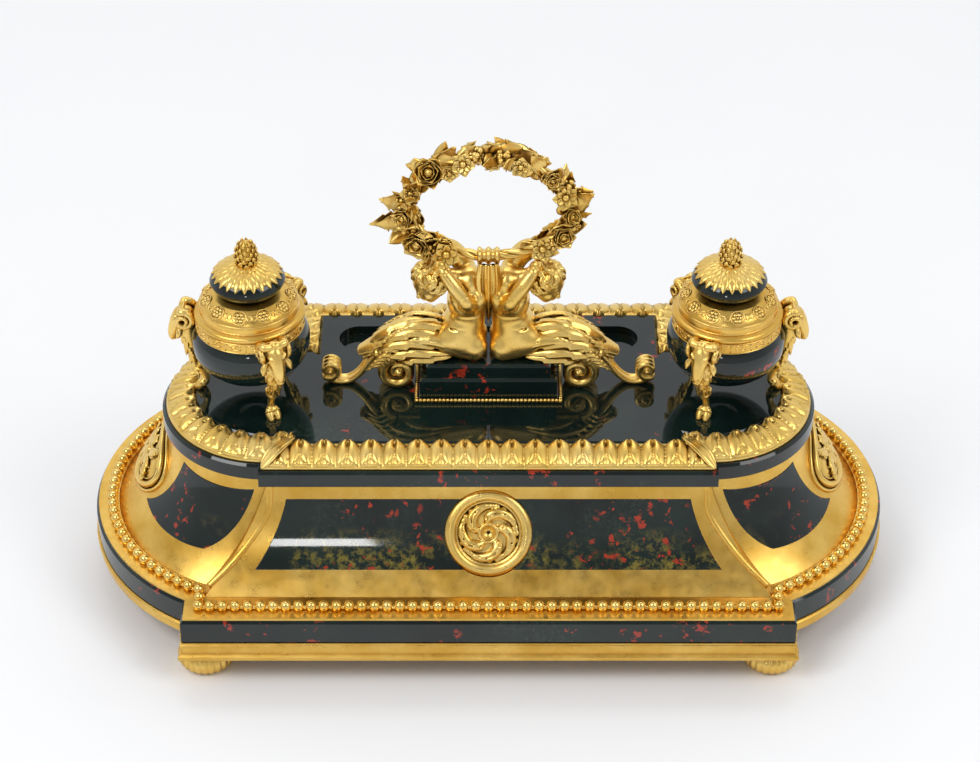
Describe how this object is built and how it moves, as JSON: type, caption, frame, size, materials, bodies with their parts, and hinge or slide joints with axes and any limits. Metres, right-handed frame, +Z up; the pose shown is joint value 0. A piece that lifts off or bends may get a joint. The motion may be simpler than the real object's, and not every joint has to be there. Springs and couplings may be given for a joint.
{
  "type": "double inkstand",
  "caption": "Two-tier desk inkstand in dark stone and gilt bronze with hinged-lid ink urns, a pen trough and a central wreath handle held by two figures.",
  "frame": {"origin": "on the ground under the middle of the object, at the centre of its plan box", "axes": "+Z up, +X to the object's right seen from the front, +Y to the back"},
  "size_m": [0.4852, 0.2536, 0.2969],
  "materials": {
    "gilt_bronze": "fire-gilt, burnished flats with matt chased ornament",
    "bloodstone": "polished dark green stone with red flecks",
    "carcass_wood": "plain oak core",
    "steel_screw": "plain steel",
    "steel_pin": "turned steel",
    "brass_nut": "turned brass",
    "liner_glass": "clear pressed glass"
  },
  "bodies": {
    "base": {"foot_front_left": "gilt_bronze", "foot_front_right": "gilt_bronze", "foot_back_left": "gilt_bronze", "foot_back_right": "gilt_bronze", "base_moulding": "gilt_bronze", "lower_tray": "gilt_bronze", "bead_border": "gilt_bronze", "body_frame": "gilt_bronze", "rosette_front": "gilt_bronze", "rosette_back": "gilt_bronze", "end_medallion_left": "gilt_bronze", "end_medallion_right": "gilt_bronze", "leaf_border": "gilt_bronze", "plinth_beads": "gilt_bronze", "figure_left": "gilt_bronze", "figure_right": "gilt_bronze", "drapery": "gilt_bronze", "wreath": "gilt_bronze", "lower_stone_band": "bloodstone", "panel_front_left": "bloodstone", "panel_front_right": "bloodstone", "panel_back_left": "bloodstone", "panel_back_right": "bloodstone", "corner_panel_front_left": "bloodstone", "corner_panel_front_right": "bloodstone", "corner_panel_back_left": "bloodstone", "corner_panel_back_right": "bloodstone", "upper_stone_band": "bloodstone", "top_stone_left": "bloodstone", "top_stone_right": "bloodstone", "plinth_block": "bloodstone", "plinth_top": "bloodstone", "carcass_lower": "carcass_wood", "carcass_upper": "carcass_wood", "fixing_screws": "steel_screw", "bowl_left": "bloodstone", "rim_ring_left": "gilt_bronze", "ink_liner_left": "liner_glass", "hinge_pin_left": "steel_pin", "leg_outer_left": "gilt_bronze", "leg_front_left": "gilt_bronze", "leg_back_left": "gilt_bronze", "bowl_right": "bloodstone", "rim_ring_right": "gilt_bronze", "ink_liner_right": "liner_glass", "hinge_pin_right": "steel_pin", "leg_outer_right": "gilt_bronze", "leg_front_right": "gilt_bronze", "leg_back_right": "gilt_bronze"},
    "lid_left": {"lid_dome_left": "gilt_bronze", "lid_boss_left": "bloodstone", "leaf_cap_left": "gilt_bronze", "finial_left": "gilt_bronze", "lid_nut_left": "brass_nut"},
    "lid_right": {"lid_dome_right": "gilt_bronze", "lid_boss_right": "bloodstone", "leaf_cap_right": "gilt_bronze", "finial_right": "gilt_bronze", "lid_nut_right": "brass_nut"}
  },
  "joints": [
    {"name": "lid_hinge_left", "type": "hinge", "parent": "base", "child": "lid_left", "pos_m": [-0.15516, 0.03036, 0.1802], "axis": [-0.9063, -0.4226, 0], "range_deg": [0, 100]},
    {"name": "lid_hinge_right", "type": "hinge", "parent": "base", "child": "lid_right", "pos_m": [0.15516, 0.03036, 0.1802], "axis": [-0.9063, 0.4226, 0], "range_deg": [0, 100]}
  ]
}
